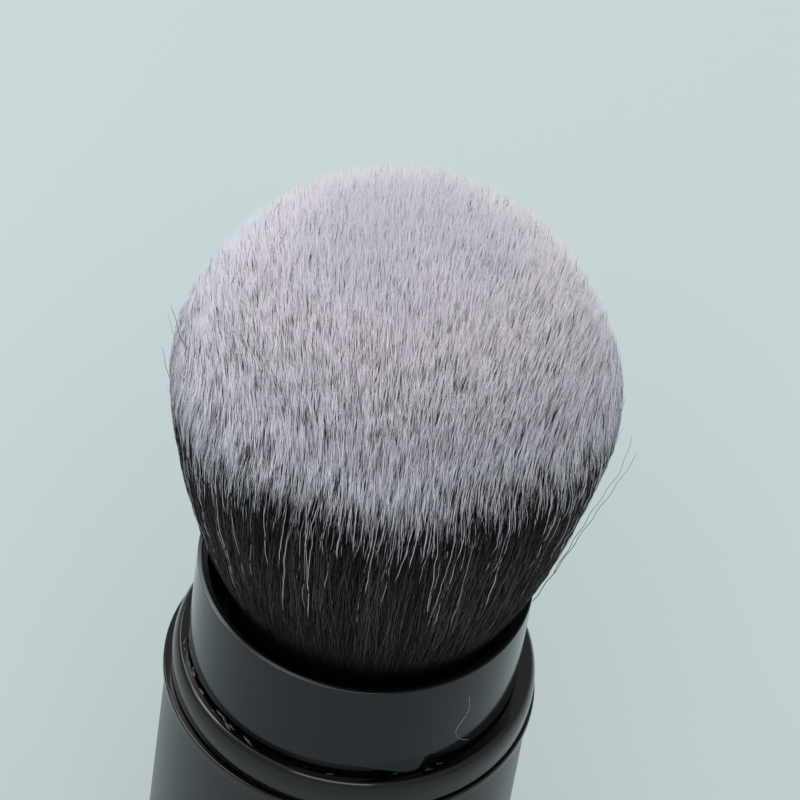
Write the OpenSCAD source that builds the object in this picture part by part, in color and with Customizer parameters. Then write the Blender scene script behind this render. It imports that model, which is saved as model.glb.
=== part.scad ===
// Retractable kabuki makeup brush, shown with its bristles out.
// A weighted base carries a tube with the bristle knot in its top.
// A sleeve slides up that tube and covers the bristles.
// Origin: centre of the base's underside. The brush stands along +Z.

/* [Sleeve] */
// Outer radius of the handle
body_r = 15; // [13.5:0.5:18]
// Length of the metal handle shell
shell_h = 42.9; // [38:0.1:60]
// Wall of the metal handle shell
shell_wall = 0.6; // [0.4:0.05:0.6]
// Rounding of the shell's two outer edges
shell_round = 0.35; // [0.1:0.05:0.35]
// Wall of the plastic liner inside the neck
liner_wall = 0.45; // [0.35:0.05:0.6]
// How far the liner's top lies below the neck's rim
liner_drop = 0.4; // [0.2:0.1:1]
// Height of the stop ring in the shell's foot
stop_h = 4.2; // [2.5:0.1:6]

/* [Neck and collar] */
// How far the neck, where a cap pushes on, lies behind the handle's surface
neck_inset = 1.45; // [1.2:0.05:2]
// Height of the neck cover above the dark groove
neck_h = 9.5; // [7:0.1:14]
// Wall of the neck cover
neck_wall = 0.35; // [0.2:0.05:0.5]
// Rounding of the neck's rim
rim_round = 0.12; // [0.05:0.01:0.15]
// Height of the notch in the neck cover's foot
notch_h = 0.9; // [0.3:0.1:2]
// Width of the notch at the foot
notch_w = 3.4; // [1:0.1:6]
// Direction of the notch's peak, in degrees
notch_angle = -57; // [-180:1:180]
// Height of the dark groove between neck cover and collar
groove_h = 0.5; // [0.3:0.1:3]
// Height of the collar ring
collar_h = 3.8; // [3:0.1:7]
// How far the collar's bead lies behind the handle's surface
bead_inset = 0.1; // [0:0.05:0.3]
// How far the bead sits off the axis, towards +X
bead_shift = 0.2; // [0:0.05:0.3]
// How far the collar's flat top reaches out over the neck
bead_top_out = 0.75; // [0.4:0.05:0.85]
// Height of the bead's rounded shoulder
shoulder_h = 1.7; // [1:0.1:2]
// Height of the black flange below the bead
flange_h = 0.8; // [0.4:0.05:1]
// How far the flange stands out over the handle
flange_out = 0.3; // [0.1:0.05:0.5]

/* [Base] */
// Height of the base cap
base_h = 8; // [7:0.5:14]
// Wall of the base cap
base_wall = 0.8; // [0.5:0.1:1]
// Floor of the base cap
base_floor = 1; // [0.6:0.1:1.5]
// Rounding of the base cap's foot
base_round = 0.9; // [0.3:0.1:0.9]
// Deck of the base insert
deck_h = 1.5; // [1:0.1:2]
// Skirt wall of the base insert
skirt_wall = 1.7; // [1:0.1:2]
// Height of the boss that holds the carrier tube
boss_h = 5; // [3:0.5:10]
// Height of the steel weight
weight_h = 4; // [2:0.1:4]

/* [Carrier] */
// How far the carrier's head stands out over its tube
stop_step = 1; // [0.7:0.1:1]
// Height of the carrier's head
head_ring_h = 4.4; // [3:0.1:6]
// Wall between the carrier's tube and the ferrule
seat_wall = 0.85; // [0.7:0.05:1]
// Width of the shoulder that the ferrule stands on
seat_step = 1; // [0.6:0.1:1.5]
// Section radius of the friction ring
friction_r = 0.55; // [0.4:0.05:0.6]
// Width of the two key slots in the carrier
slot_w = 2.4; // [1.8:0.1:4]
// Depth of the two key slots
slot_d = 0.8; // [0.5:0.05:0.9]

/* [Bristles] */
// Height of the bristle head above the neck's rim
head_h = 37.3; // [30:0.1:37.6]
// Greatest radius of the bristle head
head_r = 17.6; // [15:0.1:20]
// Height of the widest place above the neck's rim
wide_h = 20.4; // [14:0.1:24]
// Depth of the knot's root below the neck's rim
root_depth = 9; // [7:0.1:12]
// How much the flare bulges outwards above the rim
flare_bulge = 0.3; // [0:0.05:0.4]
// Number of bristle strands
strand_count = 310; // [300:10:500]
// Radius of a strand where it leaves its backing
strand_root_r = 0.16; // [0.1:0.01:0.2]
// Radius of a strand level with the neck's rim
strand_rim_r = 0.42; // [0.25:0.01:0.42]
// Radius of a strand where its tip begins
strand_r = 0.6; // [0.3:0.01:0.6]
// Share of a strand's height above the rim at which its tip begins
strand_tip = 0.86; // [0.7:0.01:0.95]
// Thickness of the backing slice
slice_h = 0.8; // [0.5:0.1:1.2]
// Depth of the ferrule cup
ferrule_h = 12; // [8:0.5:16]
// Wall of the ferrule
ferrule_wall = 0.4; // [0.3:0.05:0.6]
// How far the ferrule's lip stands above the carrier
ferrule_lip = 0.4; // [0.2:0.1:0.8]

/* [Fits] */
// Gap between pieces that are glued or pressed together
seat_gap = 0.05; // [0.02:0.01:0.08]
// Gap between pieces that slide past each other
slide_gap = 0.2; // [0.15:0.01:0.3]
// Gap between the friction ring and the liner's bore
friction_gap = 0.05; // [0.02:0.01:0.08]
// Gap between the sleeve's foot and the base at rest
foot_gap = 0.3; // [0.2:0.05:0.5]
// Gap between the bristles and the neck's bore
bristle_gap = 0.25; // [0.2:0.05:0.4]

/* [Hidden] */
$fn = 96;

// Sizes of small features
edge_round = 0.3;
flange_round = 0.15;
bead_sink = 0.1;
notch_lean = 0.16;
arc_steps = 8;
shoulder_steps = 12;
tip_steps = 20;
golden_angle = 137.508;
half_turn = 180;
quarter_turn = 90;
strand_sides = 3;
overcut = 1;
root_margin = 0.12;

// Radii, from the neck inwards
neck_r = body_r - neck_inset;
cover_bore = neck_r - neck_wall;
liner_neck_r = cover_bore - seat_gap;
bore_r = liner_neck_r - liner_wall;
carrier_head_r = bore_r - slide_gap;
carrier_r = carrier_head_r - stop_step;
slot_floor_r = carrier_r - slot_d;
stop_bore = carrier_r + slide_gap;
key_r = slot_floor_r + slide_gap;
key_w = slot_w - 2 * slide_gap;
friction_mid_r = bore_r - friction_gap - friction_r;
ferrule_seat = carrier_r - seat_wall;
ferrule_r = ferrule_seat - seat_gap;
ferrule_bore = ferrule_r - ferrule_wall;
carrier_bore = ferrule_seat - seat_step;
knot_r = ferrule_bore - seat_gap;
glue_r = ferrule_bore - seat_gap;

// Radii of the shell and the base
shell_bore = body_r - shell_wall;
liner_r = shell_bore - seat_gap;
base_bore = body_r - base_wall;
insert_r = base_bore - seat_gap;
pocket_r = insert_r - skirt_wall;
weight_r = pocket_r - seat_gap;
boss_r = carrier_bore - seat_gap;
collar_bore = liner_neck_r + seat_gap;
flange_r = body_r + flange_out;
bead_r = body_r - bead_inset;
bead_top_r = neck_r + bead_top_out;

// Heights above the floor
deck_z = base_h - deck_h;
shell_z = base_h + foot_gap;
liner_z = shell_z + stop_h;
shell_top = shell_z + shell_h;
collar_top = shell_top + collar_h;
neck_z = collar_top + groove_h;
rim_z = neck_z + neck_h;
liner_top = rim_z - liner_drop;
root_z = rim_z - root_depth;
carrier_top = root_z - ferrule_lip;
carrier_head_z = carrier_top - head_ring_h;
friction_z = carrier_top - head_ring_h / 2;
ferrule_z = root_z - ferrule_h;
glue_z = ferrule_z + ferrule_wall;
slice_top = root_z - ferrule_lip;
slice_z = slice_top - slice_h;
wide_z = rim_z + wide_h;
head_top = rim_z + head_h;
dome_h = head_h - wide_h;

// Sleeve travel, from the base up to the stop ring under the carrier's head
travel = carrier_head_z - liner_z - slide_gap;
echo(travel = travel, rim = rim_z, top = head_top, bore = bore_r);

// Points of an arc about [x, y]
function arc(x, y, r, from, to) = [
    for (i = [0 : arc_steps])
        let (a = from + (to - from) * i / arc_steps)
            [x + r * cos(a), y + r * sin(a)]
];

// Distance of the outermost strand from the axis, at the rim and at height z above it
outer_rim_r = bore_r - bristle_gap - strand_rim_r;
outer_wide_r = head_r - strand_r;
function bulged(u) = (1 + flare_bulge) * u - flare_bulge * u * u;
function flare(z) = outer_rim_r + (outer_wide_r - outer_rim_r) * bulged((z - rim_z) / wide_h);

// Radius of the dome at height z
function dome(z) = outer_wide_r * sqrt(max(0, 1 - pow((z - wide_z) / dome_h, 2)));

// Height at which a strand at this share of the bundle's radius meets the dome
function tip_z(share, low, high, steps) =
    let (mid = (low + high) / 2)
        steps == 0 ? mid
        : share * flare(mid) > dome(mid) ? tip_z(share, low, mid, steps - 1)
        : tip_z(share, mid, high, steps - 1);
function strand_share(i) = sqrt((i + 0.5) / strand_count);
function strand_top(i) = tip_z(strand_share(i), wide_z, head_top, tip_steps);
function strand_reach(i) = strand_share(i) * flare(strand_top(i)) + strand_r;

// Strands that the raised neck passes without bending them
core_count = len([
    for (i = [0 : strand_count - 1])
        if (strand_reach(i) < bore_r - bristle_gap) i
]);
split_share = strand_share(core_count - 0.5);
split_r = split_share * knot_r;

// Distance of a strand's root from the axis, clear of the edges of its backing slice
root_edge = seat_gap + strand_root_r + root_margin;
outer_root_r = knot_r - root_edge;
function root_r(i) =
    let (share = strand_share(i))
        i < core_count
            ? (split_r - root_edge) * share / split_share
            : split_r + root_edge
                + (outer_root_r - split_r - root_edge) * (share - split_share) / (1 - split_share);

// One corner of a strand, at a distance from the axis and at a height
function strand_point(i, distance, z, r, corner) =
    let (
        turn = i * golden_angle,
        twist = turn + corner * 2 * half_turn / strand_sides
    )
        [
            distance * cos(turn) + r * cos(twist),
            distance * sin(turn) + r * sin(twist),
            z - slice_z
        ];

// Rings of a strand, as [distance, height, radius], from its backing to its tip
function strand_rings(i) =
    let (share = strand_share(i), tip = rim_z + (strand_top(i) - rim_z) * strand_tip)
        [
            [root_r(i), slice_top - slice_h / 2, strand_root_r],
            [share * outer_rim_r, rim_z, strand_rim_r],
            [share * flare(tip), tip, strand_r]
        ];
strand_points = 3 * strand_sides + 1;

function strand_corners(i) = concat(
    [
        for (ring = strand_rings(i), corner = [0 : strand_sides - 1])
            strand_point(i, ring[0], ring[1], ring[2], corner)
    ],
    [strand_point(i, strand_share(i) * flare(strand_top(i)), strand_top(i), 0, 0)]
);

// Faces of a strand whose corners start at this index
function strand_faces(first) = concat(
    [[for (corner = [0 : strand_sides - 1]) first + corner]],
    [
        for (ring = [0 : 1], corner = [0 : strand_sides - 1], half = [0 : 1])
            let (
                a = first + ring * strand_sides + corner,
                b = first + ring * strand_sides + (corner + 1) % strand_sides
            )
                half == 0 ? [a, a + strand_sides, b] : [b, a + strand_sides, b + strand_sides]
    ],
    [
        for (corner = [0 : strand_sides - 1])
            let (a = first + 2 * strand_sides + corner,
                 b = first + 2 * strand_sides + (corner + 1) % strand_sides)
                [a, first + strand_points - 1, b]
    ]
);

// Strands from one index up to another, as one mesh
module strands(from, to) {
    polyhedron(
        points = [for (i = [from : to - 1], point = strand_corners(i)) point],
        faces = [for (i = [from : to - 1], face = strand_faces((i - from) * strand_points)) face]
    );
}

// A bunch of strands fused to its slice of backing
module bunch(from, to, inner_r, outer_r) {
    translate([0, 0, slice_z])
        union() {
            strands(from, to);
            difference() {
                cylinder(r = outer_r, h = slice_h);
                if (inner_r > 0)
                    translate([0, 0, -overcut])
                        cylinder(r = inner_r, h = slice_h + 2 * overcut);
            }
        }
}

// A tube from one height to another
module tube(outer, inner, from, to) {
    translate([0, 0, from])
        difference() {
            cylinder(r = outer, h = to - from);
            translate([0, 0, -overcut])
                cylinder(r = inner, h = to - from + 2 * overcut);
        }
}

// Base: aluminium cap with a rounded foot
module base_cap() {
    color("#2b3233")
        rotate_extrude()
            polygon(concat(
                [[0, 0]],
                arc(body_r - base_round, base_round, base_round, -quarter_turn, 0),
                arc(body_r - edge_round, base_h - edge_round, edge_round, 0, quarter_turn),
                [[base_bore, base_h], [base_bore, base_floor], [0, base_floor]]
            ));
}

// Base: plastic insert with the boss that holds the carrier tube
module base_insert() {
    color("#1d1f20")
        difference() {
            union() {
                translate([0, 0, base_floor])
                    cylinder(r = insert_r, h = base_h - base_floor);
                translate([0, 0, base_h])
                    cylinder(r = boss_r, h = boss_h);
            }
            translate([0, 0, base_floor - overcut])
                cylinder(r = pocket_r, h = deck_z - base_floor + overcut);
        }
}

// Base: steel weight on the cap's floor
module weight_disc() {
    color("#9a9ea1")
        translate([0, 0, base_floor])
            cylinder(r = weight_r, h = min(weight_h, deck_z - base_floor));
}

// The tube that carries the knot, with its wider head, ring groove and key slots
module carrier_tube() {
    color("#161718")
        difference() {
            union() {
                translate([0, 0, base_h])
                    cylinder(r = carrier_r, h = carrier_top - base_h);
                translate([0, 0, carrier_head_z])
                    cylinder(r = carrier_head_r, h = head_ring_h);
            }
            translate([0, 0, base_h - overcut])
                cylinder(r = carrier_bore, h = carrier_top - base_h + 2 * overcut);
            translate([0, 0, ferrule_z])
                cylinder(r = ferrule_seat, h = ferrule_h + overcut);
            tube(
                carrier_head_r + overcut, friction_mid_r - friction_r,
                friction_z - friction_r - seat_gap, friction_z + friction_r + seat_gap
            );
            for (side = [0, 1])
                rotate(side * half_turn)
                    translate([slot_floor_r, -slot_w / 2, base_h - overcut])
                        cube([slot_d + overcut, slot_w, carrier_head_z - base_h + overcut]);
        }
}

// Silicone ring that holds the sleeve wherever it is left
module friction_ring() {
    color("#3a2f2c")
        translate([0, 0, friction_z])
            rotate_extrude()
                translate([friction_mid_r, 0])
                    circle(r = friction_r, $fn = 32);
}

// Aluminium cup that holds the knot
module ferrule() {
    color("#b9bcbd")
        difference() {
            translate([0, 0, ferrule_z])
                cylinder(r = ferrule_r, h = ferrule_h);
            translate([0, 0, glue_z])
                cylinder(r = ferrule_bore, h = ferrule_h);
        }
}

// Glue that the bristle roots are set in
module knot_glue() {
    color("#c9b26a")
        translate([0, 0, glue_z])
            cylinder(r = glue_r, h = slice_z - glue_z);
}

// Inner bristles, which stay as they are inside the raised neck
module bristle_core() {
    color("#c9c4cf")
        bunch(0, core_count, 0, split_r - seat_gap);
}

// Outer bristles, which flare over the neck and fold in as it rises
module bristle_skirt() {
    color("#d6d1dc")
        bunch(core_count, strand_count, split_r + seat_gap, knot_r);
}

// Sleeve: metal handle shell
module outer_shell() {
    color("#2a3132")
        rotate_extrude()
            polygon(concat(
                [[shell_bore, shell_z]],
                arc(body_r - shell_round, shell_z + shell_round, shell_round, -quarter_turn, 0),
                arc(body_r - shell_round, shell_top - shell_round, shell_round, 0, quarter_turn),
                [[shell_bore, shell_top]]
            ));
}

// Sleeve: plastic liner, which is the bore that the carrier slides in
module shell_liner() {
    color("#121314")
        difference() {
            union() {
                translate([0, 0, liner_z])
                    cylinder(r = liner_r, h = shell_top - liner_z);
                translate([0, 0, shell_top])
                    cylinder(r = liner_neck_r, h = liner_top - shell_top);
            }
            translate([0, 0, liner_z - overcut])
                cylinder(r = bore_r, h = liner_top - liner_z + 2 * overcut);
        }
}

// Sleeve: stop ring, whose two keys run in the carrier's slots
module stop_ring() {
    color("#17191a") {
        tube(liner_r, stop_bore, shell_z, liner_z);
        for (side = [0, 1])
            rotate(side * half_turn)
                translate([key_r, -key_w / 2, shell_z])
                    cube([stop_bore + slide_gap - key_r, key_w, stop_h]);
    }
}

// Sleeve: collar ring, a bead with a rounded shoulder over a thin flange
module collar_ring() {
    shoulder_w = bead_r - bead_top_r;
    color("#23282a")
        translate([0, 0, shell_top])
            difference() {
                union() {
                    rotate_extrude()
                        polygon(concat(
                            [[0, 0]],
                            arc(flange_r - flange_round, flange_round, flange_round, -quarter_turn, 0),
                            arc(
                                flange_r - flange_round, flange_h - flange_round,
                                flange_round, 0, quarter_turn
                            ),
                            [[0, flange_h]]
                        ));
                    translate([bead_shift, 0, 0])
                        rotate_extrude()
                            polygon(concat(
                                [[0, flange_h - bead_sink], [bead_r - edge_round, flange_h - bead_sink]],
                                arc(bead_r - edge_round, flange_h + edge_round, edge_round, -quarter_turn, 0),
                                [
                                    for (i = [0 : shoulder_steps])
                                        let (a = quarter_turn * i / shoulder_steps)
                                            [
                                                bead_top_r + shoulder_w * cos(a),
                                                collar_h - shoulder_h + shoulder_h * sin(a)
                                            ]
                                ],
                                [[0, collar_h]]
                            ));
                }
                translate([0, 0, -overcut])
                    cylinder(r = collar_bore, h = collar_h + 2 * overcut);
            }
}

// Sleeve: glossy neck cover, with the notch in its foot
module neck_cover() {
    below = 1 + overcut / notch_h;
    color("#2b3335")
        difference() {
            rotate_extrude()
                polygon(concat(
                    [[cover_bore, neck_z], [neck_r, neck_z]],
                    arc(neck_r - rim_round, rim_z - rim_round, rim_round, 0, quarter_turn),
                    arc(cover_bore + rim_round, rim_z - rim_round, rim_round, quarter_turn, half_turn)
                ));
            rotate(notch_angle)
                translate([cover_bore - overcut, 0, neck_z])
                    rotate([quarter_turn, 0, quarter_turn])
                        linear_extrude(neck_wall + 2 * overcut)
                            polygon([
                                [-notch_lean * notch_w * below, -overcut],
                                [0, notch_h],
                                [(1 - notch_lean) * notch_w * below, -overcut]
                            ]);
        }
}

base_cap();
base_insert();
weight_disc();
carrier_tube();
friction_ring();
ferrule();
knot_glue();
bristle_core();
bristle_skirt();
outer_shell();
shell_liner();
stop_ring();
collar_ring();
neck_cover();
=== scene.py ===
"""Looks of the retractable kabuki brush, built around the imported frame.

Lengths are in millimetres, except where a name or comment says metres. Heights in the head are
above the neck's rim. Azimuths run from +X towards +Y; the photo is taken from -Y.
"""

import math

import bpy
import numpy as np
from mathutils import Matrix, Vector, kdtree


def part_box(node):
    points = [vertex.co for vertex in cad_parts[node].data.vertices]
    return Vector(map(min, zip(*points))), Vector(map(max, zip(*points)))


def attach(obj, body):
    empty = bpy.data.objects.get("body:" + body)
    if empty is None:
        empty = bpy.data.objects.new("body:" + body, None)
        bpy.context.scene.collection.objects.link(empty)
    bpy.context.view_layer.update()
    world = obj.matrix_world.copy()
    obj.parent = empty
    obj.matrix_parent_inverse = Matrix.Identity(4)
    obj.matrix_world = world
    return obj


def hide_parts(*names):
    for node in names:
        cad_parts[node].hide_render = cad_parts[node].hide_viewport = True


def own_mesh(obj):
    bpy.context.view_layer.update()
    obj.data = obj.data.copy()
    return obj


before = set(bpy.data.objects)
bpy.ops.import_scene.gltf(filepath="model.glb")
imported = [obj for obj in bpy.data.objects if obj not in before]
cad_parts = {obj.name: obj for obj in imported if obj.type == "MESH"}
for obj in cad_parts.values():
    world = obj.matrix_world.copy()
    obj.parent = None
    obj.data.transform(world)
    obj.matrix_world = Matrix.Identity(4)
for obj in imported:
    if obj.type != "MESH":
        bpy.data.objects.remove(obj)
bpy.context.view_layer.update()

SEED = 7
rng = np.random.default_rng(SEED)

MM = 0.001
FULL_TURN = 2 * math.pi

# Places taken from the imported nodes
RIM_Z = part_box("neck_cover")[1].z / MM
NECK_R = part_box("neck_cover")[1].x / MM
COLLAR_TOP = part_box("collar_ring")[1].z / MM
GLUE_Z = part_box("knot_glue")[1].z / MM


# ---------------------------------------------------------------- camera

# Fitted to the edges of rim, neck, collar and handle in the photo
PHOTO_SIZE = 800
FOCAL_PX = 5000
SENSOR = 36
CAMERA_ELEVATION = math.radians(48)
CAMERA_ROLL = math.radians(9.09)
CAMERA_DISTANCE = 400.45
RIM_PIXEL = (366.51, 563.83)
CLIP_METRES = (0.01, 20)


def make_camera():
    """A level camera in front of the rim, rolled, then turned so that the rim is at its pixel."""
    c, s = math.cos(CAMERA_ELEVATION), math.sin(CAMERA_ELEVATION)
    eye = Vector((0, -c, s)) * CAMERA_DISTANCE
    ahead = -eye.normalized()
    right = Vector((1, 0, 0))
    up = right.cross(ahead)
    cr, sr = math.cos(CAMERA_ROLL), math.sin(CAMERA_ROLL)
    right, up = right * cr + up * sr, up * cr - right * sr
    half = PHOTO_SIZE / 2
    ahead = (
        ahead
        + right * ((half - RIM_PIXEL[0]) / FOCAL_PX)
        + up * ((RIM_PIXEL[1] - half) / FOCAL_PX)
    ).normalized()
    up = (up - ahead * up.dot(ahead)).normalized()
    right = ahead.cross(up)
    data = bpy.data.cameras.new("camera")
    data.sensor_width = SENSOR
    data.lens = SENSOR * FOCAL_PX / PHOTO_SIZE
    data.clip_start, data.clip_end = CLIP_METRES
    camera = bpy.data.objects.new("camera", data)
    bpy.context.scene.collection.objects.link(camera)
    turn = Matrix((right, up, -ahead)).transposed()
    eye = (eye + Vector((0, 0, RIM_Z))) * MM
    camera.matrix_world = Matrix.Translation(eye) @ turn.to_4x4()
    bpy.context.scene.camera = camera


# ---------------------------------------------------------------- shader nodes


def new_material(name):
    """A new material and its Principled shader."""
    material = bpy.data.materials.new(name)
    material.use_nodes = True
    return material, material.node_tree.nodes["Principled BSDF"]


def node(material, kind, **inputs):
    """A node with some of its inputs set, by name with _ for a space."""
    made = material.node_tree.nodes.new(kind)
    for key, value in inputs.items():
        made.inputs[key.replace("_", " ")].default_value = value
    return made


def link(material, source, target):
    """Links one socket to another."""
    material.node_tree.links.new(source, target)


def maths(material, operation, *values):
    """The output of a Math node. Each value is a socket or a number."""
    made = node(material, "ShaderNodeMath")
    made.operation = operation
    for slot, value in enumerate(values):
        if isinstance(value, (int, float)):
            made.inputs[slot].default_value = value
        else:
            link(material, value, made.inputs[slot])
    return made.outputs[0]


def mix(material, factor, a, b):
    """The output of a colour mix by a socket. a and b are sockets or linear colours."""
    made = node(material, "ShaderNodeMix")
    made.data_type = "RGBA"
    for slot, value in ((0, factor), (6, a), (7, b)):
        if isinstance(value, tuple):
            made.inputs[slot].default_value = (*value, 1)
        else:
            link(material, value, made.inputs[slot])
    return made.outputs[2]


def linear(code):
    """The linear colour of a #rrggbb code."""
    parts = [int(code[i : i + 2], 16) / 255 for i in (1, 3, 5)]
    return tuple(p / 12.92 if p <= 0.04045 else ((p + 0.055) / 1.055) ** 2.4 for p in parts)


def object_point(material):
    """The point in object space, in metres."""
    return node(material, "ShaderNodeTexCoord").outputs["Object"]


def split_xyz(material, vector):
    """The three parts of a vector."""
    made = node(material, "ShaderNodeSeparateXYZ")
    link(material, vector, made.inputs[0])
    return made.outputs


def noise(material, scale, detail):
    """The factor of a noise in object space, with scale in cycles per metre."""
    made = node(material, "ShaderNodeTexNoise", Scale=scale, Detail=detail)
    link(material, object_point(material), made.inputs["Vector"])
    return made.outputs[0]


def ramp(material, value, low, high):
    """0 below low and 1 above high."""
    made = node(material, "ShaderNodeMapRange", From_Min=low, From_Max=high)
    made.interpolation_type = "SMOOTHSTEP"
    link(material, value, made.inputs["Value"])
    return made.outputs["Result"]


# ---------------------------------------------------------------- materials

# Patches of sheen, specks of dust and grain. Scales are in cycles per metre
PATCH_SCALE, PATCH_DETAIL, PATCH_DIM = 160, 3, 0.82
SPECK_SCALE, SPECK_DETAIL, SPECK_EDGE = 5200, 1, 0.04
GRAIN_DETAIL, GRAIN_STRENGTH = 2, 0.5
ROUGH_SPREAD = 0.06

# A painted highlight along the neck's rim, on its -X side: how far below the rim it starts and is
# full, the limits of the noise that breaks it up, and the distances towards -X at which it starts
# and is full
RIM_HIGHLIGHT_COLOUR = "#767c7e"
RIM_HIGHLIGHT_BELOW_RIM = (0.09, 0.02)
RIM_HIGHLIGHT_SCALE, RIM_HIGHLIGHT_DETAIL, RIM_HIGHLIGHT_LIMITS = 90, 1, (0.3, 0.7)
RIM_HIGHLIGHT_SIDE_METRES = (-0.002, 0.008)


def rim_highlight(material):
    """1 where a painted highlight lies along the neck's rim, and 0 elsewhere."""
    x, _, z = split_xyz(material, object_point(material))
    bottom, top = (RIM_Z * MM - below * MM for below in RIM_HIGHLIGHT_BELOW_RIM)
    edge = ramp(material, z, bottom, top)
    broken_up = ramp(material, noise(material, RIM_HIGHLIGHT_SCALE, RIM_HIGHLIGHT_DETAIL), *RIM_HIGHLIGHT_LIMITS)
    side = ramp(material, maths(material, "MULTIPLY", x, -1), *RIM_HIGHLIGHT_SIDE_METRES)
    return maths(material, "MULTIPLY", maths(material, "MULTIPLY", edge, broken_up), side)


def hard_material(
    name, base, dust, roughness, ior, grain=900, grain_metres=0.00001, metallic=0.0,
    dust_limit=0.72, painted_rim_highlight=False,
):
    """A lacquer, plastic or metal with fine grain, patchy sheen and a little dust."""
    material, shader = new_material(name)
    patches = noise(material, PATCH_SCALE, PATCH_DETAIL)
    specks = noise(material, SPECK_SCALE, SPECK_DETAIL)
    specks = ramp(material, specks, dust_limit, dust_limit + SPECK_EDGE)
    dimmed = tuple(PATCH_DIM * v for v in linear(base))
    tint = mix(material, patches, linear(base), dimmed)
    colour = mix(material, specks, tint, linear(dust))
    # A painted highlight along the neck's rim, where asked
    if painted_rim_highlight:
        colour = mix(material, rim_highlight(material), colour, linear(RIM_HIGHLIGHT_COLOUR))
    link(material, colour, shader.inputs["Base Color"])
    lowest = roughness - ROUGH_SPREAD / 2
    sheen = maths(material, "MULTIPLY_ADD", patches, ROUGH_SPREAD, lowest)
    link(material, sheen, shader.inputs["Roughness"])
    shader.inputs["IOR"].default_value = ior
    shader.inputs["Metallic"].default_value = metallic
    bump = node(material, "ShaderNodeBump", Strength=GRAIN_STRENGTH, Distance=grain_metres)
    link(material, noise(material, grain, GRAIN_DETAIL), bump.inputs["Height"])
    link(material, bump.outputs["Normal"], shader.inputs["Normal"])
    return material


# The bristles' map. Across it lies a column for each turning height and tone, where a strand's
# turning height is the height at which it goes from dark to pale. Up it lies the height
BAKE_MAP = "OFBake"
TURN_LEVELS, TONES = 32, 8
TURN_LOW, TURN_HIGH = 6.0, 37.0
MAP_LOW, MAP_HIGH = -12.0, 40.0
MAP_MARGIN = 0.001
ALWAYS_DARK = 99.0

# Pale colours for tone 0 and tone 1, then the dark ones, of which the first is painted shade in and
# near the neck. Few dark strands are light, near tone 1
COOL = ("#cccfda", "#f0f1f8")
WARM = ("#d8d3dc", "#f6f2f8")
LILAC = ("#c9c6d0", "#e1dfe7")
NECK_PAINTED_SHADE, DARK = "#030202", "#060505"
DARK_HAIR_LOW, DARK_HAIR_NEAR_PALE = "#75666a", "#322b2d"
DARK_HAIR_POWER = 7.0

# Distances past the turning height over which the colour changes, and heights over which the dark
# part leaves the painted shade of the neck
TO_PALE, TO_WARM, TO_LILAC = (-0.3, 1.0), (1.5, 9.0), (10.0, 16.0)
TO_NEAR_PALE = (-8.0, -2.0)
OUT_OF_NECK_SHADE = (-1.0, 11.0)
BRISTLE_ROUGHNESS, BRISTLE_SPECULAR = 0.5, 0.22


def bristle_material():
    """Colour from the map alone: turning height and tone across it, the height up it."""
    material, shader = new_material("bristle")
    at = node(material, "ShaderNodeUVMap")
    at.uv_map = BAKE_MAP
    across, height, _ = split_xyz(material, at.outputs["UV"])
    scaled = maths(material, "MULTIPLY", across, TURN_LEVELS)
    level = maths(material, "FLOOR", scaled)
    tone = maths(material, "FRACT", scaled)
    level_step = (TURN_HIGH - TURN_LOW) / (TURN_LEVELS - 1)
    turn = maths(material, "MULTIPLY_ADD", level, level_step, TURN_LOW)
    above = maths(material, "MULTIPLY_ADD", height, MAP_HIGH - MAP_LOW, MAP_LOW)
    past = maths(material, "SUBTRACT", above, turn)

    near = ramp(material, past, *TO_NEAR_PALE)
    hair = mix(material, near, linear(DARK_HAIR_LOW), linear(DARK_HAIR_NEAR_PALE))
    few = maths(material, "POWER", tone, DARK_HAIR_POWER)
    dark = mix(material, few, linear(DARK), hair)
    # Painted shade: the dark part is darker still in and near the neck
    dark = mix(material, ramp(material, above, *OUT_OF_NECK_SHADE), linear(NECK_PAINTED_SHADE), dark)

    cool, warm, lilac = (
        mix(material, tone, linear(low), linear(high)) for low, high in (COOL, WARM, LILAC)
    )
    pale = mix(material, ramp(material, past, *TO_WARM), cool, warm)
    pale = mix(material, ramp(material, past, *TO_LILAC), pale, lilac)
    colour = mix(material, ramp(material, past, *TO_PALE), dark, pale)
    link(material, colour, shader.inputs["Base Color"])
    shader.inputs["Roughness"].default_value = BRISTLE_ROUGHNESS
    shader.inputs["Specular IOR Level"].default_value = BRISTLE_SPECULAR
    return material


def map_column(turn_height, tone):
    """The place across the map for a turning height and a tone from 0 to 1."""
    last = TURN_LEVELS - 1
    level = (turn_height - TURN_LOW) / (TURN_HIGH - TURN_LOW) * last
    level = np.clip(np.round(level), 0, last)
    tone = (np.clip(np.floor(tone * TONES), 0, TONES - 1) + 0.5) / TONES
    return (level + tone) / TURN_LEVELS


def map_row(height):
    """The place up the map for a height."""
    row = (height - MAP_LOW) / (MAP_HIGH - MAP_LOW)
    return np.clip(row, MAP_MARGIN, 1 - MAP_MARGIN)


# ---------------------------------------------------------------- the head's form

SECTORS = 18
HEAD_TOP = 38.2
WIDE, WIDE_R, DOME_POWER = 20.5, 17.35, 1.83
LOWEST_TIP, TIP_STEPS = 23.5, 400

# Height, radius of the bundle before the dome closes it
FLARE = np.array([
    (-11, 9.9), (-9, 10.05), (-4, 10.9), (0, 11.9), (3, 13.05), (6, 14.05), (9, 14.9),
    (12, 15.65), (15, 16.3), (18, 16.85), (20.5, 17.2), (23, 17.15), (25, 16.9), (27, 16.7),
    (38, 16.5),
])

# Heights, then how far the bundle's axis lies towards +X and +Y
LEAN_X = ([-9, 0, 8, 14, 22, 27, 33, 38], [0, 0.4, 0.2, 0.05, 0.1, 0.0, -0.2, -0.35])
LEAN_Y = ([-9, 0, 38], [0, 0.15, 0.1])

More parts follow.
